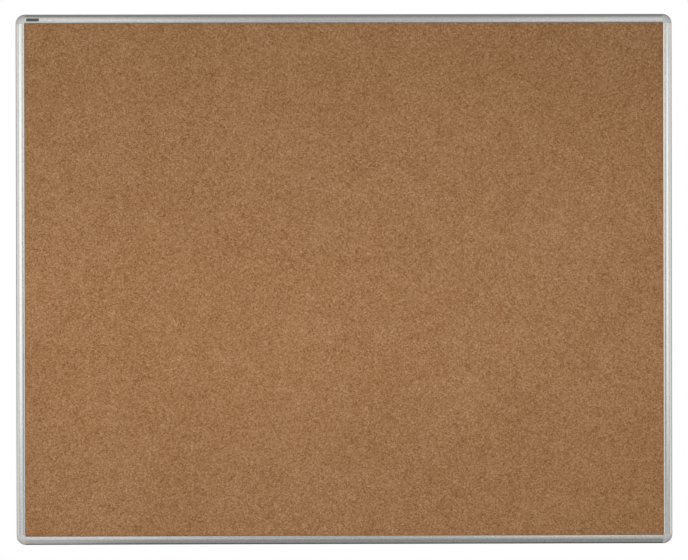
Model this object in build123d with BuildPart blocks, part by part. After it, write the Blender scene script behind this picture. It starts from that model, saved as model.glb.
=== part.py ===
"""Cork notice board for a wall: a cork-faced panel in an aluminium frame with plastic corners.

The board hangs on four steel wall fittings. Each one hooks into a groove in the back of a rail
and slides along it, so that its screw can go where the wall takes one.

Millimetres. +X is to the right of a person facing the board, +Z is up, and -Y points out of the
wall towards that person. The origin is on the wall's face, midway between the four wall screws.
"""

import os
from math import cos, radians, sin, sqrt, tan

from build123d import *

os.makedirs("parts", exist_ok=True)

# ---- Driving dimensions ----

# Frame, measured over the rails
outer_width = 1500.0
outer_height = 1212.0

# Panel, from the front to the back
cork_thickness = 3.0
core_thickness = 9.5
backing_thickness = 0.5
panel_edge_gap = 0.5  # room round the panel's edges in its slot

# Rail section, seen along the rail
rail_width = 21.6
rail_wall = 1.4
slot_depth = 11.6  # how far the panel slot and the hanging groove reach in under the lip
shoulder_radius = 12.0  # from the outer side up to the crown
crown_angle = 25.0  # of the surface where the shoulder meets the crown
roll_radius = 5.2  # from the highest line down to the lip
roll_angle = 61.0  # of the surface where the roll meets the lip
lip_edge = 1.35  # height of the lip's edge above the cork
back_edge_radius = 1.0
lip_edge_radius = 0.4

# Corner mouldings
collar_length = 1.4  # straight part of a corner, past the frame's inner edge
corner_proud = 0.15  # how far a corner stands out from the rails
corner_wall = 2.0
corner_groove_inset = 6.5  # from a rail's outer side to the groove round the corner
corner_groove_radius = 0.8
corner_edge_radius = 0.3
leg_length = 40.0
leg_clearance = 0.2
leg_tip_chamfer = 1.5

# Screws that hold the corner legs in the rails
screw_inset = 16.0  # from a rail's end to its screw
screw_length = 7.5
screw_tip_length = 2.0
screw_tip_radius = 0.4
screw_shank_radius = 1.6
screw_head_radius = 3.0
screw_head_angle = 90.0  # of the countersink
screw_clearance = 0.05
screw_recess_span = 3.4
screw_recess_width = 0.8
screw_recess_depth = 0.9

# Name plate, left blank, on the top rail
plate_length = 29.0
plate_height = 7.0
plate_thickness = 0.25
plate_from_rail_end = 3.3
plate_inset = 14.0  # from the rail's outer side to the plate's middle

# Wall fittings
fitting_thickness = 1.5
fitting_back_play = 0.2  # room between a fitting's tab and the rail's back flange
fitting_front_play = 0.7
fitting_width = 45.0
fitting_corner_radius = 5.0
fitting_bend_radius = 1.2
joggle_run = 2.6
wall_hole_radius = 2.75
wall_hole_inset = 40.0  # from the frame's outer edge to a wall screw
wall_hole_from_side = 250.0  # from the frame's left or right side to a wall screw
wall_hole_margin = 12.0  # from a wall screw to the fitting's end
hook_reach = 5.7  # how far an upper fitting reaches up behind the top rail's back flange
hook_seat_gap = 0.3
clip_reach = 3.5  # how far a lower fitting reaches down behind the bottom rail's back flange
unhook_lift = 6.5  # how far the board can rise on the lower fittings, to come off the upper ones

# ---- Derived sizes ----
# u runs across a rail, inwards from the frame's outer edge, and v runs out from the wall.

half_width = outer_width / 2
half_height = outer_height / 2

panel_thickness = cork_thickness + core_thickness + backing_thickness
fitting_lift = rail_wall + fitting_back_play  # v of a fitting's tab
groove_height = fitting_back_play + fitting_thickness + fitting_front_play
panel_back = rail_wall + groove_height + rail_wall
core_back = panel_back + backing_thickness
core_front = core_back + core_thickness
cork_front = panel_back + panel_thickness

slot_bottom = rail_width - slot_depth  # u of the bottom of the panel slot
panel_inset = slot_bottom + panel_edge_gap
roll_drop = roll_radius * (1 - cos(radians(roll_angle)))
rail_depth = cork_front + lip_edge + roll_drop
crown_u = rail_width - roll_radius * sin(radians(roll_angle))  # of the highest line of the rail
crown_radius = shoulder_radius + (crown_u - shoulder_radius) / sin(radians(crown_angle))
crown_rise = crown_radius - (crown_radius - shoulder_radius) * cos(radians(crown_angle))
crown_centre = (crown_u, rail_depth - crown_radius)
shoulder_start = rail_depth - crown_rise  # v where the rail's outer side turns into its shoulder
shoulder_centre = (shoulder_radius, shoulder_start)
rail_end = rail_width + collar_length  # from the frame's outer edge to the end of a rail

leg_inset = rail_wall + leg_clearance
leg_width = slot_bottom - rail_wall - leg_clearance - leg_inset
leg_height = shoulder_start - leg_inset
screw_u = leg_inset + leg_width / 2
screw_head_height = (screw_head_radius - screw_shank_radius) / tan(radians(screw_head_angle / 2))
level_screw_x = half_width - rail_end - screw_inset
level_screw_z = half_height - screw_u
upright_screw_x = half_width - screw_u
upright_screw_z = half_height - rail_end - screw_inset

# ---- Planes ----


def edge_plane(x, z, inwards):
    """Plane across a rail: its origin is on the wall, its X is u and its Y is v."""
    u = Vector(*inwards)
    return Plane(origin=(x, 0, z), x_dir=u, z_dir=u.cross(Vector(0, -1, 0)))


# The back of the board seen from inside the wall: its X runs the other way from the board's, and
# its Z runs into the wall
wall_plane = Plane(origin=(0, 0, 0), x_dir=(-1, 0, 0), z_dir=(0, 1, 0))


def save(piece, label):
    """Names a finished piece and writes it to its own file."""
    piece.part.label = label
    export_step(piece.part, f"parts/{label}.step")


def corner_screw_hole(depth):
    """Countersunk hole that a corner screw fits with its clearance all round."""
    CounterSinkHole(
        radius=screw_shank_radius + screw_clearance,
        counter_sink_radius=screw_head_radius + screw_clearance,
        depth=depth,
        counter_sink_angle=screw_head_angle,
    )


# ---- Panel ----

panel_layers = {
    "backing_sheet": (panel_back, backing_thickness),
    "core_board": (core_back, core_thickness),
    "cork_sheet": (core_front, cork_thickness),
}

for label, (back, thickness) in panel_layers.items():
    with BuildPart() as layer:
        with BuildSketch(Plane.XZ.offset(back)):
            Rectangle(outer_width - 2 * panel_inset, outer_height - 2 * panel_inset)
        extrude(amount=thickness)
    save(layer, label)

# ---- Rails ----

with BuildSketch() as rail_outline:
    with BuildLine():
        outer_side = Line((0, 0), (0, shoulder_start))
        CenterArc(shoulder_centre, shoulder_radius, 180, crown_angle - 90)
        CenterArc(crown_centre, crown_radius, 90 + crown_angle, -crown_angle)
        roll = CenterArc((crown_u, rail_depth - roll_radius), roll_radius, 90, -roll_angle)
        Polyline(roll @ 1, (rail_width, 0), outer_side @ 0)
    make_face()

# The extrusion is a shell. A web parts the corner chamber from the panel slot and from the
# hanging groove behind it, and a shelf parts those two.
with BuildSketch() as rail_section:
    add(rail_outline.sketch)
    offset(amount=-rail_wall, kind=Kind.INTERSECTION, mode=Mode.SUBTRACT)
    web_u = slot_bottom - rail_wall / 2
    web_rise = sqrt((crown_radius - rail_wall / 2) ** 2 - (crown_u - web_u) ** 2)
    web_top = rail_depth - crown_radius + web_rise
    with Locations((slot_bottom - rail_wall, rail_wall / 2)):
        Rectangle(rail_wall, web_top - rail_wall / 2, align=Align.MIN)
    with Locations((web_u, panel_back - rail_wall)):
        Rectangle(rail_width - web_u, rail_wall, align=Align.MIN)
    with Locations((slot_bottom, rail_wall)):
        Rectangle(slot_depth, groove_height, align=Align.MIN, mode=Mode.SUBTRACT)
    with Locations((slot_bottom, panel_back)):
        Rectangle(slot_depth, panel_thickness, align=Align.MIN, mode=Mode.SUBTRACT)
    fillet(rail_section.vertices().group_by(Axis.X)[0].sort_by(Axis.Y)[0], back_edge_radius)
    fillet(rail_section.vertices().group_by(Axis.X)[-1].sort_by(Axis.Y)[-1], lip_edge_radius)

level_length = outer_width - 2 * rail_end
upright_length = outer_height - 2 * rail_end
level_screw_grid = (2 * level_screw_x, 2 * level_screw_z)
upright_screw_grid = (2 * upright_screw_x, 2 * upright_screw_z)

rails = {
    "top_rail": (edge_plane(0, half_height, (0, 0, -1)), level_length, level_screw_grid),
    "bottom_rail": (edge_plane(0, -half_height, (0, 0, 1)), level_length, level_screw_grid),
    "left_rail": (edge_plane(-half_width, 0, (1, 0, 0)), upright_length, upright_screw_grid),
    "right_rail": (edge_plane(half_width, 0, (-1, 0, 0)), upright_length, upright_screw_grid),
}

for label, (plane, length, screw_grid) in rails.items():
    with BuildPart(wall_plane) as rail:
        with BuildSketch(plane):
            add(rail_section.sketch)
        extrude(amount=length / 2, both=True)
        with GridLocations(*screw_grid, 2, 2):
            corner_screw_hole(depth=rail_wall + leg_clearance / 2)
    save(rail, label)

# ---- Corner mouldings ----
# One arm of a corner is modelled, from the end of the upright rail to the diagonal, and then
# mirrored across the diagonal. The other three corners are mirror images of this one.

with BuildSketch() as corner_outline:
    with BuildLine():
        front = rail_depth + corner_proud
        outer_side = Line((-corner_proud, 0), (-corner_proud, shoulder_start))
        CenterArc(shoulder_centre, shoulder_radius + corner_proud, 180, crown_angle - 90)
        crown = CenterArc(
            crown_centre, crown_radius + corner_proud, 90 + crown_angle, -crown_angle
        )
        Polyline(crown @ 1, (rail_width, front), (rail_width, 0), outer_side @ 0)
    make_face()

corner_x = rail_width - half_width
corner_z = half_height - rail_width
corner_radius = rail_width + corner_proud
corner_axis = Axis((corner_x, 0, corner_z), (0, 1, 0))
corner_diagonal = Plane(origin=(corner_x, 0, corner_z), z_dir=(1, 0, 1))
corner_plane = Plane(origin=(corner_x, 0, corner_z), x_dir=(1, 0, 0), z_dir=(0, -1, 0))
arm_plane = edge_plane(-half_width, corner_z, (1, 0, 0))
arm_angle = 45  # from an arm's end of the bend to the diagonal
groove_rise = sqrt(
    (shoulder_radius + corner_proud) ** 2 - (shoulder_radius - corner_groove_inset) ** 2
)
screw_points = ((level_screw_x, level_screw_z), (upright_screw_x, upright_screw_z))

with BuildPart(wall_plane) as corner:
    with BuildSketch(arm_plane) as arm:
        add(corner_outline.sketch)
    extrude(amount=collar_length)
    collar_end = corner.faces().sort_by(Axis.Z)[0]
    fillet(collar_end.edges().sort_by(Axis.Y)[:2], corner_edge_radius)
    with BuildSketch(arm_plane.offset(collar_length)):
        with Locations((leg_inset, leg_inset)):
            Rectangle(leg_width, leg_height, align=Align.MIN)
    extrude(amount=leg_length)
    chamfer(corner.faces().sort_by(Axis.Z)[0].edges(), leg_tip_chamfer)
    revolve(arm.sketch, axis=corner_axis, revolution_arc=arm_angle)
    with BuildSketch(arm_plane) as groove:
        with Locations((corner_groove_inset, shoulder_start + groove_rise)):
            Circle(corner_groove_radius)
    extrude(groove.sketch, amount=collar_length, mode=Mode.SUBTRACT)
    revolve(groove.sketch, axis=corner_axis, revolution_arc=arm_angle, mode=Mode.SUBTRACT)
    mirror(about=corner_diagonal)

    # Pocket for the panel's corner
    with BuildSketch(corner_plane.offset(panel_back)):
        with Locations((-slot_depth, slot_depth)):
            Rectangle(rail_end, rail_end, align=(Align.MIN, Align.MAX))
    extrude(amount=panel_thickness, mode=Mode.SUBTRACT)

    # The back is cored out, shallow behind the panel and deep between it and the outer wall
    with BuildSketch(corner_plane) as core:
        with Locations((-corner_wall, corner_wall)):
            Rectangle(corner_radius, corner_radius, align=(Align.MAX, Align.MIN))
        Circle(corner_radius - corner_wall, mode=Mode.INTERSECT)
    extrude(amount=panel_back - corner_wall, mode=Mode.SUBTRACT)
    with BuildSketch(corner_plane):
        add(core.sketch_local)
        with Locations((-slot_depth - corner_wall, slot_depth + corner_wall)):
            Rectangle(rail_end, rail_end, align=(Align.MIN, Align.MAX), mode=Mode.SUBTRACT)
    extrude(amount=shoulder_start, mode=Mode.SUBTRACT)

    with Locations(*screw_points):
        corner_screw_hole(depth=leg_inset + leg_height)

with BuildPart(wall_plane) as screws:
    with Locations(*screw_points):
        top_down = (Align.CENTER, Align.CENTER, Align.MAX)
        Cone(screw_shank_radius, screw_head_radius, screw_head_height, align=top_down)
        Cylinder(screw_shank_radius, screw_length - screw_tip_length, align=top_down)
        with Locations((0, 0, screw_tip_length - screw_length)):
            Cone(screw_tip_radius, screw_shank_radius, screw_tip_length, align=top_down)
        for span, width in (
            (screw_recess_span, screw_recess_width),
            (screw_recess_width, screw_recess_span),
        ):
            Box(span, width, screw_recess_depth, align=top_down, mode=Mode.SUBTRACT)

corner_mirrors = {
    "top_left": (),
    "top_right": (Plane.YZ,),
    "bottom_left": (Plane.XY,),
    "bottom_right": (Plane.YZ, Plane.XY),
}

for place, planes in corner_mirrors.items():
    for kind, pattern in (("corner", corner), ("corner_screws", screws)):
        with BuildPart() as piece:
            add(pattern.part)
            for plane in planes:
                mirror(about=plane, mode=Mode.REPLACE)
        save(piece, f"{kind}_{place}")

# ---- Name plate ----

plate_x = rail_end + plate_from_rail_end + plate_length / 2 - half_width

with BuildPart() as label_plate:
    with BuildSketch(edge_plane(plate_x, half_height, (0, 0, -1))):
        offset(rail_outline.sketch, amount=plate_thickness)
        add(rail_outline.sketch, mode=Mode.SUBTRACT)
        with Locations((plate_inset, rail_depth)):
            Rectangle(plate_height, crown_radius, mode=Mode.INTERSECT)
    extrude(amount=plate_length / 2, both=True)
save(label_plate, "label_plate")

# ---- Wall fittings ----
# Each is a joggled strip. Its tab reaches into the hanging groove and its flat lies on the wall.

fitting_rows = {
    "hanger_top": (1, rail_width - hook_reach, rail_width + hook_seat_gap),
    "clip_bottom": (-1, rail_width - clip_reach, rail_width + unhook_lift),
}

for row, (up, tab_end, joggle_start) in fitting_rows.items():
    for side, across in (("left", -1), ("right", 1)):
        x = across * (half_width - wall_hole_from_side)
        with BuildPart(wall_plane) as fitting:
            with BuildSketch(edge_plane(x, up * half_height, (0, 0, -up))):
                with BuildLine():
                    FilletPolyline(
                        (tab_end, fitting_lift),
                        (joggle_start, fitting_lift),
                        (joggle_start + joggle_run, 0),
                        (wall_hole_inset + wall_hole_margin, 0),
                        radius=(fitting_bend_radius, fitting_bend_radius + fitting_thickness),
                    )
                    offset(amount=fitting_thickness, side=Side.LEFT)
                make_face()
            extrude(amount=fitting_width / 2, both=True)
            fillet(fitting.edges().filter_by(Axis.Y), fitting_corner_radius)
            with Locations((-x, up * (half_height - wall_hole_inset))):
                Hole(wall_hole_radius)
        save(fitting, f"{row}_{side}")
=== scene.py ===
"""Cork bulletin board: surface finishes, name plate and studio stage, built around the packed frame."""

from math import cos, pi, radians, sin

import bpy
from bpy.props import FloatProperty, FloatVectorProperty, IntProperty, PointerProperty
from mathutils import Matrix, Vector


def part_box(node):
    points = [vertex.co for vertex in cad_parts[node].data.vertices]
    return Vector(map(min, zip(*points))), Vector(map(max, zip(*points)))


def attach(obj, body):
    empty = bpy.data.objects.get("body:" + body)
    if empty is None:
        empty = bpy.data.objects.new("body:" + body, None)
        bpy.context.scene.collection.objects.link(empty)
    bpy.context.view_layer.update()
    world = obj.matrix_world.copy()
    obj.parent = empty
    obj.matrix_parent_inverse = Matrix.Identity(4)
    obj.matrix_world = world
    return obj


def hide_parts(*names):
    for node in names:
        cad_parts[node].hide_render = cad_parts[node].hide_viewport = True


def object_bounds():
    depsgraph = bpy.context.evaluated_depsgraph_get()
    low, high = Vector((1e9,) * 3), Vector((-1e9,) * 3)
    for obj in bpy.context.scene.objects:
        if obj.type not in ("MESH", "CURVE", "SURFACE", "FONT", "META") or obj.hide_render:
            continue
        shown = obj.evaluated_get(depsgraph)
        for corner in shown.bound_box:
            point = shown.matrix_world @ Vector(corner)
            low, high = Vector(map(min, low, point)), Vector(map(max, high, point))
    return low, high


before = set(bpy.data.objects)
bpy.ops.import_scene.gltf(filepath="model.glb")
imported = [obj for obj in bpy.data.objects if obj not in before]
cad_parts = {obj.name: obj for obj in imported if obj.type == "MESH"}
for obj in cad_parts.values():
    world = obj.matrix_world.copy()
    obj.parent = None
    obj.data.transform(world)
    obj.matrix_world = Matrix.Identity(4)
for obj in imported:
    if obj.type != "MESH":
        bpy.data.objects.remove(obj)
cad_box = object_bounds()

bl_info = {
    "name": "Cork Bulletin Board",
    "version": (1, 0, 0),
    "blender": (4, 5, 0),
    "location": "3D View > Sidebar > Cork Board",
    "description": "Finishes, name plate and studio stage for a framed cork bulletin board",
    "category": "Object",
}

MILLIMETRE = 0.001
WHITE = (1.0, 1.0, 1.0, 1.0)

# Turns of a flat sheet that bring its face to each side.
FACING_BACK = (-pi / 2, 0.0, 0.0)
FACING_FRONT = (pi / 2, 0.0, 0.0)
FACING_DOWN = (pi, 0.0, 0.0)
FACING_UP = (0.0, 0.0, 0.0)

PANEL_NODES = ("cork_sheet", "core_board", "backing_sheet")
LEVEL_RAILS = ("top_rail", "bottom_rail")
UPRIGHT_RAILS = ("left_rail", "right_rail")
CORNERS = tuple(sorted(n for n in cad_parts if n.startswith("corner_") and "screws" not in n))
CORNER_SCREWS = tuple(sorted(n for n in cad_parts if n.startswith("corner_screws_")))
WALL_FITTINGS = tuple(sorted(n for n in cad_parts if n.startswith(("hanger_", "clip_"))))
PLATE_LOW, PLATE_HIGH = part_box("label_plate")


# ---------------------------------------------------------------- shader helpers

class Value:
    """A quantity that varies over a surface. Sums and products of values add Math nodes."""

    def __init__(self, recipe, socket):
        self.recipe = recipe
        self.socket = socket

    def combine(self, operation, first, second):
        return self.recipe.node("ShaderNodeMath", {"operation": operation}, {0: first, 1: second})

    def __add__(self, other):
        return self.combine("ADD", self, other)

    __radd__ = __add__

    def __sub__(self, other):
        return self.combine("SUBTRACT", self, other)

    def __rsub__(self, other):
        return self.combine("SUBTRACT", other, self)

    def __mul__(self, other):
        return self.combine("MULTIPLY", self, other)

    __rmul__ = __mul__

    def __pow__(self, other):
        return self.combine("POWER", self, other)


class Recipe:
    """The nodes of one material or world."""

    def __init__(self, owner):
        owner.use_nodes = True
        self.owner = owner
        self.tree = owner.node_tree
        self.tree.nodes.clear()

    def node(self, kind, settings=None, sockets=None, output=0):
        """Adds a node, sets its settings, then its sockets, and returns one of its outputs."""
        made = self.tree.nodes.new(kind)
        for name, setting in (settings or {}).items():
            if name == "stops":
                elements = made.color_ramp.elements
                elements.remove(elements[1])
                elements[0].position, elements[0].color = setting[0]
                for position, colour in setting[1:]:
                    elements.new(position).color = colour
            else:
                setattr(made, name, setting)
        for key, value in (sockets or {}).items():
            if isinstance(value, Value):
                self.tree.links.new(value.socket, made.inputs[key])
            else:
                made.inputs[key].default_value = value
        return Value(self, made.outputs[output])

    def place(self):
        """The position on the piece, in metres."""
        return self.node("ShaderNodeTexCoord", output="Object")

    def split(self, vector):
        """The three parts of a vector or colour."""
        made = self.node("ShaderNodeSeparateXYZ", sockets={0: vector}).socket.node
        return [Value(self, part) for part in made.outputs]

    def stretch(self, vector, factors):
        """A vector with each part multiplied by its own factor."""
        return self.node("ShaderNodeVectorMath", {"operation": "MULTIPLY"}, {0: vector, 1: factors})

    def noise(self, vector, size, detail=2.0, roughness=0.5, output=0):
        """Soft random patches of about the given size."""
        sockets = {"Vector": vector, "Scale": 1 / size, "Detail": detail, "Roughness": roughness}
        return self.node("ShaderNodeTexNoise", {"noise_dimensions": "3D"}, sockets, output)

    def cells(self, vector, size, feature="F1", output=0):
        """Random cells of about the given size."""
        sockets = {"Vector": vector, "Scale": 1 / size}
        return self.node("ShaderNodeTexVoronoi", {"feature": feature}, sockets, output)

    def step(self, value, low, high):
        """Eases from nought to one while the value goes from low to high."""
        sockets = {"Value": value, "From Min": low, "From Max": high}
        return self.node("ShaderNodeMapRange", {"interpolation_type": "SMOOTHSTEP"}, sockets)

    def ramp(self, value, stops):
        """A colour picked from a row of stops."""
        stops = [(position, (*colour, 1.0)) for position, colour in stops]
        return self.node("ShaderNodeValToRGB", {"stops": stops}, {0: value})

    def mix(self, factor, varying, plain):
        """A varying colour mixed with a plain one."""
        sockets = {0: factor, 6: varying, 7: (*plain, 1.0)}
        return self.node("ShaderNodeMix", {"data_type": "RGBA"}, sockets, output=2)

    def relief(self, height, depth):
        """A bumpy normal from a height between 0 and 1 and the depth in metres that 1 stands for."""
        return self.node("ShaderNodeBump", None, {"Strength": 1.0, "Distance": depth, "Height": height})

    def finish(self, sockets):
        """The material, with a surface made from these sockets."""
        surface = self.node("ShaderNodeBsdfPrincipled", None, sockets)
        self.node_output("ShaderNodeOutputMaterial", surface)
        return self.owner

    def node_output(self, kind, surface):
        """Ends the recipe with an output node."""
        made = self.tree.nodes.new(kind)
        self.tree.links.new(surface.socket, made.inputs["Surface"])


def new_recipe(name):
    """The recipe of a new material."""
    return Recipe(bpy.data.materials.new(name))


def shades(colour, darker, lighter):
    """A darker and a lighter shade of a colour."""
    return [part * darker for part in colour], [min(1.0, part * lighter) for part in colour]


def coat(nodes, material):
    """Gives CAD nodes a material through their material slots."""
    for name in nodes:
        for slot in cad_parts[name].material_slots:
            slot.material = material


# ---------------------------------------------------------------- finishes

def granulated_cork(settings):
    """Pressed cork granules of mixed sizes and tones, with bark flecks and slight mottling."""
    recipe = new_recipe("granulated cork")
    place = recipe.place()
    size = settings.granule_size
    crumb_size = 0.5 * size
    pore_size = 0.22 * size
    warp_size = 1.6 * size
    warp_reach = 0.9 * size

    # Cells with bent sides are the granules. About half of them are broken into crumbs.
    warp = recipe.noise(place, warp_size, detail=3.0, roughness=0.6, output=1)
    warp = recipe.stretch(warp, (warp_reach,) * 3)
    bent = recipe.node("ShaderNodeVectorMath", {"operation": "ADD"}, {0: place, 1: warp})
    bent = recipe.stretch(bent, (1.0, 1.0, settings.granule_flatness))
    granule_tone, granule_breaks, granule_bark = recipe.split(recipe.cells(bent, size, output=1))
    crumb_tone = recipe.split(recipe.cells(bent, crumb_size, output=1))[0]
    broken = recipe.step(granule_breaks, 0.52, 0.56)
    tone = granule_tone + broken * (crumb_tone - granule_tone)
    pores = recipe.noise(bent, pore_size, detail=3.0, roughness=0.65)
    granule_seam = recipe.step(recipe.cells(bent, size, feature="DISTANCE_TO_EDGE"), 0.0, 0.09)
    crumb_seam = recipe.step(recipe.cells(bent, crumb_size, feature="DISTANCE_TO_EDGE"), 0.0, 0.12)
    seam = granule_seam * (1 - broken * (1 - crumb_seam))

    # The mottling is wider than the granules and runs on across them.
    blotch = recipe.noise(place, 35 * MILLIMETRE, detail=3.0, roughness=0.55)
    cloud = recipe.noise(place, 300 * MILLIMETRE)
    level = 0.5 + settings.granule_contrast * (tone - 0.5) + 0.28 * (pores - 0.5)
    level = level + 0.22 * (blotch - 0.5) + 0.14 * (cloud - 0.5) - 0.1 * (1 - seam)
    colour = recipe.ramp(level, (
        (0.0, settings.cork_dark),
        (0.47, settings.cork_middle),
        (1.0, settings.cork_light),
    ))
    bark = recipe.step(granule_bark, 1 - settings.bark_share, 1 - settings.bark_share * 0.5)
    bark = bark * recipe.step(pores, 0.3, 0.6)
    colour = recipe.mix(bark * 0.75, colour, settings.bark_colour)

    height = 0.55 * seam + 0.3 * pores + 0.15 * tone - 0.3 * bark
    return recipe.finish({
        "Base Color": colour,
        "Roughness": 0.95 - 0.12 * seam,
        "Specular IOR Level": 0.25,
        "Normal": recipe.relief(height, settings.granule_relief),
    })


def soft_fibreboard(settings):
    """Pressed wood fibres, felted and matt."""
    recipe = new_recipe("soft fibreboard")
    place = recipe.place()
    flattened = recipe.stretch(place, (1.0, 5.0, 1.0))
    strands = recipe.noise(flattened, 1.5 * MILLIMETRE, detail=5.0, roughness=0.7)
    clumps = recipe.noise(place, 8 * MILLIMETRE)
    level = 0.65 * strands + 0.35 * clumps
    dark, light = shades(settings.core_colour, 0.62, 1.3)
    return recipe.finish({
        "Base Color": recipe.ramp(level, ((0.3, dark), (0.52, settings.core_colour), (0.75, light))),
        "Roughness": 0.88 + 0.1 * strands,
        "Specular IOR Level": 0.2,
        "Normal": recipe.relief(strands, 0.3 * MILLIMETRE),
    })


def backing_paper(settings):
    """Recycled grey board with stray fibres and faint waves from the press rollers."""
    recipe = new_recipe("grey backing paper")
    place = recipe.place()
    pulp = recipe.noise(place, 1.1 * MILLIMETRE, detail=4.0, roughness=0.65)
    waves = recipe.noise(recipe.stretch(place, (1.0, 1.0, 0.12)), 20 * MILLIMETRE)
    cloud = recipe.noise(place, 120 * MILLIMETRE, detail=3.0)
    level = 0.5 * pulp + 0.2 * waves + 0.3 * cloud
    dark, light = shades(settings.backing_colour, 0.78, 1.2)
    colour = recipe.ramp(level, ((0.3, dark), (0.5, settings.backing_colour), (0.72, light)))
    crossing = []
    for turn in (0.5, 2.2):
        turned = recipe.node("ShaderNodeMapping", {"vector_type": "POINT"},
                             {"Vector": place, "Rotation": (0.0, turn, 0.0), "Scale": (1.0, 1.0, 0.14)})
        fibre = recipe.noise(turned, 1.6 * MILLIMETRE, detail=1.0)
        crossing.append(recipe.step(fibre, 0.7, 0.78))
    fibres = crossing[0] + crossing[1] - crossing[0] * crossing[1]
    brown = (0.2, 0.17, 0.13)
    return recipe.finish({
        "Base Color": recipe.mix(fibres * 0.45, colour, brown),
        "Roughness": 0.82 + 0.12 * pulp,
        "Specular IOR Level": 0.3,
        "Normal": recipe.relief(pulp + 0.5 * fibres, 0.04 * MILLIMETRE),
    })


def satin_aluminium(name, settings, along):
    """Etched and anodised extrusion, with fine die lines along the rail."""
    recipe = new_recipe(name)
    place = recipe.place()
    drawn = recipe.stretch(place, along)
    lines = recipe.noise(drawn, 0.45 * MILLIMETRE, detail=4.0, roughness=0.6)
    bands = recipe.noise(drawn, 3 * MILLIMETRE)
    grain = recipe.noise(place, 0.22 * MILLIMETRE)
    cloud = recipe.noise(place, 60 * MILLIMETRE)
    dark, light = shades(settings.aluminium_colour, 0.98, 1.02)
    level = 0.4 * lines + 0.3 * bands + 0.3 * cloud
    rough = settings.aluminium_roughness
    return recipe.finish({
        "Base Color": recipe.ramp(level, ((0.3, dark), (0.7, light))),
        "Metallic": 1.0,
        "Roughness": rough - 0.02 + 0.025 * lines + 0.015 * grain,
        "Normal": recipe.relief(0.7 * lines + 0.3 * grain, settings.die_line_depth),
    })


def moulded_plastic(settings):
    """Silver-coloured plastic, full of fine metal flake, with the spark texture of its mould."""
    recipe = new_recipe("moulded silver plastic")
    place = recipe.place()
    spark = recipe.noise(place, 0.5 * MILLIMETRE, detail=3.0, roughness=0.6)
    pits = recipe.cells(place, 0.7 * MILLIMETRE)
    flow = recipe.noise(place, 20 * MILLIMETRE)
    dark, light = shades(settings.corner_colour, 0.93, 1.06)
    level = 0.35 * spark + 0.65 * flow
    return recipe.finish({
        "Base Color": recipe.ramp(level, ((0.3, dark), (0.7, light))),
        "Metallic": settings.corner_flake,
        "Roughness": settings.corner_roughness - 0.05 + 0.1 * spark,
        "IOR": 1.5,
        "Normal": recipe.relief(0.6 * spark + 0.4 * pits, settings.spark_depth),
    })


def zinc_plate(settings):
    """Pressed steel sheet with bright zinc: rolling lines, faint crystals and a slight blue cast."""
    recipe = new_recipe("bright zinc plate")
    place = recipe.place()
    rolled = recipe.noise(recipe.stretch(place, (0.05, 1.0, 1.0)), 0.4 * MILLIMETRE, detail=3.0)
    crystal = recipe.split(recipe.cells(place, 2.5 * MILLIMETRE, output=1))[0]
    smear = recipe.noise(place, 12 * MILLIMETRE, detail=3.0)
    base = settings.zinc_colour
    blue = (base[0] * 0.9, base[1] * 0.97, min(1.0, base[2] * 1.04))
    straw = (min(1.0, base[0] * 1.05), base[1] * 1.01, base[2] * 0.92)
    colour = recipe.ramp(0.75 * smear + 0.25 * crystal, ((0.3, blue), (0.5, base), (0.72, straw)))
    return recipe.finish({
        "Base Color": colour,
        "Metallic": 1.0,
        "Roughness": 0.27 + 0.08 * rolled + 0.06 * crystal,
        "Normal": recipe.relief(rolled, 0.006 * MILLIMETRE),
    })


def turned_steel(settings, screw_centres):
    """Zinc-coated screws, with faint rings left by turning around each screw's own axis."""
    recipe = new_recipe("turned screw steel")
    place = recipe.place()
    across, _, up = recipe.split(place)
    nearest = None
    for centre_x, centre_z in screw_centres:
        reach = ((across - centre_x) ** 2 + (up - centre_z) ** 2) ** 0.5
        nearest = reach if nearest is None else reach.combine("MINIMUM", nearest, reach)
    ring_pitch = 0.22 * MILLIMETRE
    rings = recipe.node("ShaderNodeMath", {"operation": "SINE"}, {0: nearest * (2 * pi / ring_pitch)})
    grain = recipe.noise(place, 0.3 * MILLIMETRE, detail=3.0)
    smear = recipe.noise(place, 3 * MILLIMETRE)
    dark, light = shades(settings.screw_colour, 0.85, 1.12)
    return recipe.finish({
        "Base Color": recipe.ramp(0.5 * grain + 0.5 * smear, ((0.3, dark), (0.7, light))),
        "Metallic": 1.0,
        "Roughness": 0.26 + 0.12 * smear,
        "Normal": recipe.relief(0.35 * rings + grain, 0.004 * MILLIMETRE),
    })


def plate_lacquer(settings):
    """Black satin lacquer with faint brush lines, left without any lettering."""
    recipe = new_recipe("black plate lacquer")
    place = recipe.place()
    brushed = recipe.noise(recipe.stretch(place, (0.04, 1.0, 1.0)), 0.3 * MILLIMETRE, detail=3.0)
    speck = recipe.noise(place, 0.5 * MILLIMETRE)
    plain, light = shades(settings.plate_colour, 1.0, 1.5)
    return recipe.finish({
        "Base Color": recipe.ramp(0.6 * brushed + 0.4 * speck, ((0.35, plain), (0.7, light))),
        "Roughness": 0.3 + 0.12 * brushed,
        "IOR": 1.5,
        "Normal": recipe.relief(brushed, 0.004 * MILLIMETRE),
    })


# ---------------------------------------------------------------- settings

def colour_setting(name, description, default):
    """A colour."""
    return FloatVectorProperty(name=name, description=description, default=default,
                               subtype="COLOR", size=3, min=0.0, max=1.0)


def length_setting(name, description, default):
    """A length in metres."""
    return FloatProperty(name=name, description=description, default=default,
                         subtype="DISTANCE", unit="LENGTH")


def level_setting(name, description, default):
    """A plain amount of nought or more."""
    return FloatProperty(name=name, description=description, default=default, min=0.0)


def angle_setting(name, description, default):
    """An angle, given here in degrees."""
    return FloatProperty(name=name, description=description, default=radians(default),
                         subtype="ANGLE", unit="ROTATION")


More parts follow.
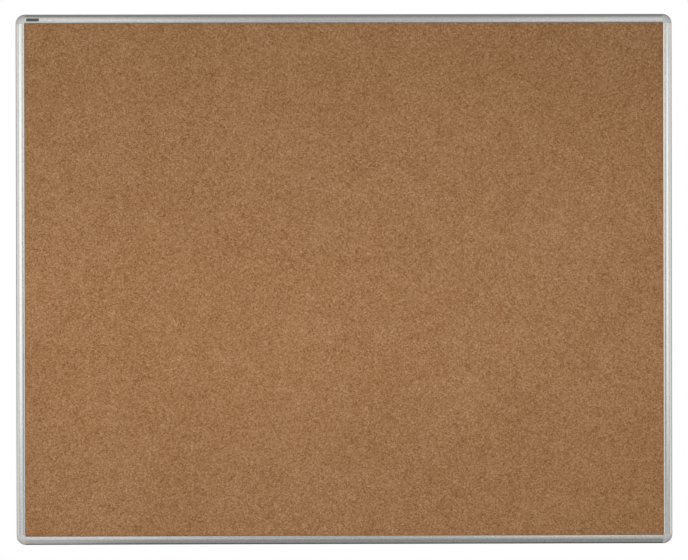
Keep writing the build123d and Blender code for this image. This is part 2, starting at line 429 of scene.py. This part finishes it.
class BoardPanelSettings(bpy.types.PropertyGroup):
    """Sizes and colours of the cork panel."""

    cork_dark: colour_setting("Cork Dark", "Tone of the darkest granules", (0.153, 0.054, 0.011))
    cork_middle: colour_setting("Cork Middle", "Tone of most granules", (0.304, 0.152, 0.060))
    cork_light: colour_setting("Cork Light", "Tone of the palest granules", (0.498, 0.302, 0.171))
    bark_colour: colour_setting("Bark", "Tone of the bark flecks", (0.1, 0.045, 0.018))
    granule_size: length_setting("Granule Size", "Width of a typical granule", 2.7 * MILLIMETRE)
    granule_flatness: FloatProperty(name="Flatness", description="How much wider than high a granule is",
                                    default=1.12, min=1.0)
    granule_contrast: level_setting("Granule Contrast", "How far granules differ in tone", 0.69)
    granule_relief: length_setting("Granule Relief", "Depth of the granules' joints", 0.25 * MILLIMETRE)
    bark_share: FloatProperty(name="Bark Share", description="Share of granules that carry bark",
                              default=0.05, min=0.0, max=1.0, subtype="FACTOR")
    core_colour: colour_setting("Core", "Colour of the fibreboard core", (0.36, 0.26, 0.16))
    backing_colour: colour_setting("Backing", "Colour of the paper on the back", (0.42, 0.42, 0.40))


class BoardFrameSettings(bpy.types.PropertyGroup):
    """Colours and surface of the rails and corners."""

    aluminium_colour: colour_setting("Aluminium", "Colour of the anodised rails", (0.64, 0.637, 0.615))
    aluminium_roughness: level_setting("Aluminium Roughness", "Roughness of the anodised rails", 0.27)
    die_line_depth: length_setting("Die Lines", "Depth of the lines along the rails", 0.004 * MILLIMETRE)
    corner_colour: colour_setting("Corners", "Colour of the corner mouldings", (0.54, 0.535, 0.515))
    corner_flake: level_setting("Corner Flake", "Share of metal flake in the corner mouldings", 0.3)
    corner_roughness: level_setting("Corner Roughness", "Roughness of the corner mouldings", 0.4)
    spark_depth: length_setting("Spark Texture", "Depth of the mould texture", 0.012 * MILLIMETRE)


class BoardHardwareSettings(bpy.types.PropertyGroup):
    """Colours of the metal parts on the back."""

    zinc_colour: colour_setting("Zinc", "Colour of the wall fittings", (0.62, 0.63, 0.65))
    screw_colour: colour_setting("Screws", "Colour of the corner screws", (0.56, 0.56, 0.57))


class BoardPlateSettings(bpy.types.PropertyGroup):
    """Sizes and colour of the bare name plate."""

    plate_width: length_setting("Width", "Length along the rail", PLATE_HIGH.x - PLATE_LOW.x)
    plate_height: length_setting("Height", "Height on the rail", PLATE_HIGH.z - PLATE_LOW.z)
    plate_thickness: length_setting("Thickness", "Thickness of the plate", 0.2 * MILLIMETRE)
    corner_radius: length_setting("Corner Radius", "Radius of the plate's corners", 0.8 * MILLIMETRE)
    rim_width: length_setting("Rim", "Width of the raised rim", 0.55 * MILLIMETRE)
    field_depth: length_setting("Field Depth", "Depth of the field inside the rim", 0.06 * MILLIMETRE)
    field_slope: length_setting("Field Slope", "Width of the slope down to the field", 0.12 * MILLIMETRE)
    edge_width: length_setting("Soft Edge", "Width of the bevel on the plate's edges", 0.05 * MILLIMETRE)
    bends: IntProperty(name="Bends", description="Strips that follow the rail's crown", default=14, min=2)
    plate_colour: colour_setting("Plate", "Colour of the plate", (0.054, 0.057, 0.045))


class BoardStageSettings(bpy.types.PropertyGroup):
    """Camera, lamps and floor."""

    camera_distance: length_setting("Distance", "Camera distance in front of the wall", 4.0)
    camera_left: length_setting("Left Shift", "Camera place left of the board's centre", 21.7 * MILLIMETRE)
    camera_high: length_setting("Rise", "Camera place above the board's centre", 4.7 * MILLIMETRE)
    camera_turn: angle_setting("Turn", "Turn to the right", 0.3004)
    camera_tilt: angle_setting("Tilt", "Tilt upwards", -0.0931)
    camera_roll: angle_setting("Roll", "Roll of the camera", -0.1143)
    lens: FloatProperty(name="Lens", description="Focal length in millimetres", default=91.274)
    studio_radius: length_setting("Studio Radius", "Distance of the softboxes from the board", 4.3)
    left_level: level_setting("Left Softbox", "Brightness of the left softbox", 1.5)
    right_level: level_setting("Right Softbox", "Brightness of the right softbox", 1.4)
    upper_left_level: level_setting("Upper Left Softbox", "Brightness of the small upper left softbox", 2.1)
    upper_right_level: level_setting("Upper Right Softbox", "Brightness of its twin on the right", 1.85)
    fill_level: level_setting("Front Fill", "Brightness of the strip in front of the board", 3.0)
    back_level: level_setting("Back Fill", "Brightness of the lamp behind the board", 0.8)
    ambient_level: level_setting("Ambient", "Brightness of the light from all around", 0.45)
    floor_drop: length_setting("Floor Drop", "Gap between the board and the floor", 0.35)
    floor_colour: colour_setting("Floor", "Colour of the floor", (0.86, 0.86, 0.85))


SETTINGS = {
    "board_panel": BoardPanelSettings,
    "board_frame": BoardFrameSettings,
    "board_hardware": BoardHardwareSettings,
    "board_plate": BoardPlateSettings,
    "board_stage": BoardStageSettings,
}


# ---------------------------------------------------------------- pieces

class BOARD_OT_finish_panel(bpy.types.Operator):
    """Finish the cork sheet, the fibreboard core and the backing paper"""

    bl_idname = "board.finish_panel"
    bl_label = "Finish Cork Panel"
    bl_options = {"REGISTER", "UNDO"}

    def execute(self, context):
        settings = context.scene.board_panel
        makers = (granulated_cork, soft_fibreboard, backing_paper)
        for node, maker in zip(PANEL_NODES, makers):
            coat([node], maker(settings))
        return {"FINISHED"}


class BOARD_OT_finish_rails(bpy.types.Operator):
    """Finish the four aluminium rails, with die lines along each rail"""

    bl_idname = "board.finish_rails"
    bl_label = "Finish Rails"
    bl_options = {"REGISTER", "UNDO"}

    def execute(self, context):
        settings = context.scene.board_frame
        squeeze = 0.02  # along the rail, which draws the grain out to 50 times its width
        coat(LEVEL_RAILS, satin_aluminium("anodised aluminium, level", settings, (squeeze, 1.0, 1.0)))
        coat(UPRIGHT_RAILS, satin_aluminium("anodised aluminium, upright", settings, (1.0, 1.0, squeeze)))
        return {"FINISHED"}


class BOARD_OT_finish_corners(bpy.types.Operator):
    """Finish the four plastic corner mouldings"""

    bl_idname = "board.finish_corners"
    bl_label = "Finish Corners"
    bl_options = {"REGISTER", "UNDO"}

    def execute(self, context):
        coat(CORNERS, moulded_plastic(context.scene.board_frame))
        return {"FINISHED"}


class BOARD_OT_finish_corner_screws(bpy.types.Operator):
    """Finish the screws that hold the corner legs in the rails"""

    bl_idname = "board.finish_corner_screws"
    bl_label = "Finish Corner Screws"
    bl_options = {"REGISTER", "UNDO"}

    def execute(self, context):
        low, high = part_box("corner_screws_top_right")
        head_radius = 3 * MILLIMETRE
        centres = []
        for side in (-1, 1):
            for end in (-1, 1):
                centres.append((side * (low.x + head_radius), end * (high.z - head_radius)))
                centres.append((side * (high.x - head_radius), end * (low.z + head_radius)))
        coat(CORNER_SCREWS, turned_steel(context.scene.board_hardware, centres))
        return {"FINISHED"}


class BOARD_OT_add_name_plate(bpy.types.Operator):
    """Model the bare name plate, bent over the crown of the top rail"""

    bl_idname = "board.add_name_plate"
    bl_label = "Add Name Plate"
    bl_options = {"REGISTER", "UNDO"}

    def execute(self, context):
        settings = context.scene.board_plate
        middle = (PLATE_LOW + PLATE_HIGH) / 2
        in_front = PLATE_LOW.y - 5 * MILLIMETRE
        bpy.ops.object.select_all(action="DESELECT")
        bpy.ops.mesh.primitive_plane_add(size=settings.plate_width, rotation=FACING_FRONT,
                                         location=(middle.x, in_front, middle.z))
        plate = context.object
        plate.name = plate.data.name = "name_plate"
        bpy.ops.object.mode_set(mode="EDIT")
        bpy.ops.mesh.select_all(action="SELECT")
        bpy.ops.transform.resize(value=(1.0, 1.0, settings.plate_height / settings.plate_width))
        bpy.ops.mesh.bevel(offset=settings.corner_radius, offset_type="OFFSET", affect="VERTICES", segments=5)
        bpy.ops.mesh.select_all(action="SELECT")
        bpy.ops.mesh.inset(thickness=settings.rim_width)
        bpy.ops.object.mode_set(mode="OBJECT")
        bpy.ops.object.transform_apply(location=True, rotation=True, scale=True)
        return self.shape(context, plate, settings)

    def shape(self, context, plate, settings):
        """Cut the flat plate into strips, lay it on the rail and give it its thickness."""
        bpy.ops.object.mode_set(mode="EDIT")
        for cut in range(1, settings.bends):
            height = PLATE_LOW.z + settings.plate_height * cut / settings.bends
            bpy.ops.mesh.select_all(action="SELECT")
            bpy.ops.mesh.bisect(plane_co=(0.0, 0.0, height), plane_no=(0.0, 0.0, 1.0))
        bpy.ops.mesh.select_all(action="DESELECT")
        bpy.ops.object.mode_set(mode="OBJECT")

        wrap = plate.modifiers.new("lay on rail", "SHRINKWRAP")
        wrap.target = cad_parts["top_rail"]
        wrap.wrap_method = "PROJECT"
        wrap.use_project_y = True
        wrap.use_positive_direction = True
        wrap.use_negative_direction = False
        bpy.ops.object.modifier_apply(modifier=wrap.name)

        past_rim = settings.rim_width * 1.02
        for face in plate.data.polygons:
            centre = face.center
            inside_x = PLATE_LOW.x + past_rim < centre.x < PLATE_HIGH.x - past_rim
            inside_z = PLATE_LOW.z + past_rim < centre.z < PLATE_HIGH.z - past_rim
            face.select = inside_x and inside_z
        bpy.ops.object.mode_set(mode="EDIT")
        bpy.ops.mesh.select_mode(type="FACE")
        bpy.ops.mesh.inset(thickness=settings.field_slope, depth=-settings.field_depth)
        bpy.ops.object.mode_set(mode="OBJECT")

        wall = plate.modifiers.new("thickness", "SOLIDIFY")
        wall.thickness = settings.plate_thickness
        wall.offset = 1.0
        bpy.ops.object.modifier_apply(modifier=wall.name)
        edge = plate.modifiers.new("soft edge", "BEVEL")
        edge.width = settings.edge_width
        edge.segments = 2
        edge.limit_method = "ANGLE"
        edge.angle_limit = radians(40)
        bpy.ops.object.modifier_apply(modifier=edge.name)
        bpy.ops.object.shade_smooth_by_angle(angle=radians(35))

        plate.data.materials.clear()
        plate.data.materials.append(plate_lacquer(settings))
        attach(plate, "board")
        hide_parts("label_plate")
        return {"FINISHED"}


class BOARD_OT_finish_wall_fittings(bpy.types.Operator):
    """Finish the hangers and clips that slide in the rails"""

    bl_idname = "board.finish_wall_fittings"
    bl_label = "Finish Wall Fittings"
    bl_options = {"REGISTER", "UNDO"}

    def execute(self, context):
        coat(WALL_FITTINGS, zinc_plate(context.scene.board_hardware))
        return {"FINISHED"}


# ---------------------------------------------------------------- stage

# Cards that only reflections show: name, centre, turn, size and brightness.
CARDS = (
    ("front wall card", (0.0, -5.5, 0.0), FACING_BACK, (16.0, 12.0), 0.37),
    ("back wall card", (0.0, 2.4, 0.0), FACING_FRONT, (11.0, 4.0), 0.18),
    ("middle back wall card", (0.0, 2.35, -0.2), FACING_FRONT, (3.0, 3.2), 0.48),
    ("ceiling card", (0.0, 0.6, 1.8), FACING_DOWN, (6.0, 3.6), 0.32),
    ("left ceiling card", (-1.85, -2.5, 1.8), FACING_DOWN, (2.3, 2.6), 1.02),
    ("middle ceiling card", (0.0, -2.5, 1.8), FACING_DOWN, (1.4, 2.6), 0.61),
    ("right ceiling card", (1.85, -2.5, 1.8), FACING_DOWN, (2.3, 2.6), 0.9),
    ("left floor card", (-1.85, -1.1, -1.5), FACING_UP, (2.3, 2.4), 0.59),
    ("right floor card", (1.15, -1.1, -1.5), FACING_UP, (3.7, 2.4), 0.35),
    ("far left floor card", (-1.85, -3.55, -1.5), FACING_UP, (2.3, 2.5), 1.44),
    ("far middle floor card", (0.0, -3.55, -1.5), FACING_UP, (1.4, 2.5), 0.93),
    ("far right floor card", (1.85, -3.55, -1.5), FACING_UP, (2.3, 2.5), 1.08),
    ("back floor card", (0.0, 0.5, -1.5), FACING_UP, (6.0, 0.8), 0.05),
    ("far back floor card", (0.0, 1.7, -1.5), FACING_UP, (6.0, 1.6), 0.22),
)


# Softboxes: name, degrees round the board from straight in front, height, size and level setting.
SOFTBOXES = (
    ("left softbox", -41.5, 0.31, (1.7, 2.2), "left_level"),
    ("right softbox", 42.5, 0.26, (1.45, 1.9), "right_level"),
    ("upper left softbox", -15.0, 1.08, (0.75, 1.35), "upper_left_level"),
    ("upper right softbox", 15.0, 1.05, (0.75, 1.4), "upper_right_level"),
)

# Lamps that reflections don't show: name, centre, the point it faces, size and level setting.
FILLS = (
    ("front fill", (-0.35, -1.08, -0.1), (-0.35, 0.0, -0.1), (3.0, 0.4), "fill_level"),
    ("back fill", (0.0, 3.0, 1.2), (0.0, 0.0, 0.0), (3.0, 2.0), "back_level"),
)

FLOOR_FRONT = -6.0
FLOOR_BACK = 1.6
FLOOR_HALF_WIDTH = 5.0


def add_lamp(name, centre, towards, size, level, in_reflections):
    """An area lamp of the given brightness that the camera doesn't see."""
    lamp = bpy.data.lights.new(name, "AREA")
    lamp.shape = "RECTANGLE"
    lamp.size, lamp.size_y = size
    lamp.energy = level * pi * size[0] * size[1]
    made = bpy.data.objects.new(name, lamp)
    bpy.context.scene.collection.objects.link(made)
    made.location = centre
    made.rotation_euler = (Vector(towards) - Vector(centre)).to_track_quat("-Z", "Y").to_euler()
    made.visible_camera = False
    made.visible_glossy = in_reflections


def add_card(name, centre, turn, size, level):
    """A glowing studio card that only reflections show."""
    bpy.ops.object.select_all(action="DESELECT")
    bpy.ops.mesh.primitive_plane_add(size=1.0, location=centre, rotation=turn)
    card = bpy.context.object
    card.name = name
    card.scale = (size[0], size[1], 1.0)
    bpy.ops.object.transform_apply(location=True, rotation=True, scale=True)
    recipe = new_recipe(name)
    glow = recipe.node("ShaderNodeEmission", None, {"Color": WHITE, "Strength": level})
    recipe.node_output("ShaderNodeOutputMaterial", glow)
    recipe.owner.cycles.emission_sampling = "NONE"
    card.data.materials.append(recipe.owner)
    card.visible_camera = card.visible_diffuse = card.visible_shadow = False
    card.visible_transmission = card.visible_volume_scatter = False


def seen_plainly(recipe):
    """One for rays from the camera, a reflection or a glass surface, and nought for the rest."""
    path = recipe.node("ShaderNodeLightPath").socket.node
    seen = [Value(recipe, path.outputs[name]) for name in
            ("Is Camera Ray", "Is Glossy Ray", "Is Transmission Ray")]
    return recipe.step(seen[0] + seen[1] + seen[2], 0.0, 1.0)


def white_world(settings):
    """A world that looks white and lights the object softly."""
    world = bpy.data.worlds.new("white studio")
    recipe = Recipe(world)
    light = recipe.node("ShaderNodeBackground", None, {"Color": WHITE, "Strength": settings.ambient_level})
    look = recipe.node("ShaderNodeBackground", None, {"Color": WHITE, "Strength": 1.0})
    both = recipe.node("ShaderNodeMixShader", None, {0: seen_plainly(recipe), 1: light, 2: look})
    recipe.node_output("ShaderNodeOutputWorld", both)
    return world


def pale_floor(settings, half_depth, middle):
    """A matt floor that keeps shadows, melts into white at its edges and is open from below."""
    recipe = new_recipe("pale floor")
    place = recipe.place()
    across, deep, _ = recipe.split(place)
    reach = (across * (1 / FLOOR_HALF_WIDTH)) ** 2 + ((deep - middle) * (1 / half_depth)) ** 2
    grain = recipe.noise(place, 4 * MILLIMETRE, detail=3.0)
    dark, plain = shades(settings.floor_colour, 0.98, 1.0)
    matt = recipe.node("ShaderNodeBsdfDiffuse", None,
                       {"Color": recipe.ramp(grain, ((0.3, dark), (0.7, plain)))})
    glow = recipe.node("ShaderNodeEmission", None, {"Color": WHITE, "Strength": 1.0})
    faded = recipe.node("ShaderNodeMixShader", None, {0: recipe.step(reach, 0.3, 0.9), 1: matt, 2: glow})
    clear = recipe.node("ShaderNodeBsdfTransparent")
    below = recipe.node("ShaderNodeNewGeometry", output="Backfacing")
    open_below = recipe.node("ShaderNodeMixShader", None, {0: below, 1: faded, 2: clear})
    recipe.node_output("ShaderNodeOutputMaterial", open_below)
    recipe.owner.cycles.emission_sampling = "NONE"
    return recipe.owner


class BOARD_OT_set_stage(bpy.types.Operator):
    """Set the floor, lamps, cards, world and camera"""

    bl_idname = "board.set_stage"
    bl_label = "Set Stage"
    bl_options = {"REGISTER", "UNDO"}

    def execute(self, context):
        settings = context.scene.board_stage
        self.add_camera(context, settings)
        self.add_lights(context, settings)
        self.add_floor(settings)
        context.scene.view_settings.view_transform = "Standard"
        return {"FINISHED"}

    def add_camera(self, context, settings):
        """A long lens straight in front of the board."""
        data = bpy.data.cameras.new("camera")
        data.lens = settings.lens
        data.clip_start, data.clip_end = 0.1, 100.0
        camera = bpy.data.objects.new("camera", data)
        context.scene.collection.objects.link(camera)
        camera.matrix_world = (
            Matrix.Translation((-settings.camera_left, -settings.camera_distance, settings.camera_high))
            @ Matrix.Rotation(-settings.camera_turn, 4, "Z")
            @ Matrix.Rotation(pi / 2 + settings.camera_tilt, 4, "X")
            @ Matrix.Rotation(settings.camera_roll, 4, "Z")
        )
        context.scene.camera = camera

    def add_lights(self, context, settings):
        """Softboxes round the camera, a fill strip, a lamp behind, and cards for the metal."""
        for name, angle, height, size, level in SOFTBOXES:
            middle = Vector((0.0, 0.0, height))
            outwards = Vector((sin(radians(angle)), -cos(radians(angle)), 0.0))
            centre = middle + outwards * settings.studio_radius
            add_lamp(name, centre, middle, size, getattr(settings, level), in_reflections=True)
        for name, centre, towards, size, level in FILLS:
            add_lamp(name, centre, towards, size, getattr(settings, level), in_reflections=False)
        for name, centre, turn, size, level in CARDS:
            add_card(name, centre, turn, size, level)
        context.scene.world = white_world(settings)

    def add_floor(self, settings):
        """A floor a little below the board."""
        low, _ = cad_box
        middle = (FLOOR_FRONT + FLOOR_BACK) / 2
        depth = FLOOR_BACK - FLOOR_FRONT
        bpy.ops.object.select_all(action="DESELECT")
        bpy.ops.mesh.primitive_plane_add(size=1.0, location=(0.0, middle, low.z - settings.floor_drop))
        floor = bpy.context.object
        floor.name = "floor"
        floor.scale = (2 * FLOOR_HALF_WIDTH, depth, 1.0)
        bpy.ops.object.transform_apply(location=True, rotation=True, scale=True)
        floor.data.materials.append(pale_floor(settings, depth / 2, middle))
        floor.visible_glossy = False


class BOARD_PT_sidebar(bpy.types.Panel):
    """Buttons that build the board step by step"""

    bl_idname = "BOARD_PT_sidebar"
    bl_label = "Cork Bulletin Board"
    bl_space_type = "VIEW_3D"
    bl_region_type = "UI"
    bl_category = "Cork Board"

    def draw(self, context):
        for operator in OPERATORS:
            self.layout.operator(operator.bl_idname)
        for name, group in SETTINGS.items():
            column = self.layout.column(align=True)
            column.label(text=group.__doc__)
            for setting in group.__annotations__:
                column.prop(getattr(context.scene, name), setting)


OPERATORS = (
    BOARD_OT_finish_panel,
    BOARD_OT_finish_rails,
    BOARD_OT_finish_corners,
    BOARD_OT_finish_corner_screws,
    BOARD_OT_add_name_plate,
    BOARD_OT_finish_wall_fittings,
    BOARD_OT_set_stage,
)


def register():
    """Registers the classes and gives the scene its settings."""
    for cls in (*SETTINGS.values(), *OPERATORS, BOARD_PT_sidebar):
        bpy.utils.register_class(cls)
    for name, group in SETTINGS.items():
        setattr(bpy.types.Scene, name, PointerProperty(type=group))


def unregister():
    """Takes back what register did."""
    for name in SETTINGS:
        delattr(bpy.types.Scene, name)
    for cls in reversed((*SETTINGS.values(), *OPERATORS, BOARD_PT_sidebar)):
        bpy.utils.unregister_class(cls)


def main():
    """Builds the board, piece by piece."""
    register()
    for operator in OPERATORS:
        module, name = operator.bl_idname.split(".")
        getattr(getattr(bpy.ops, module), name)()


if __name__ == "__main__":
    main()
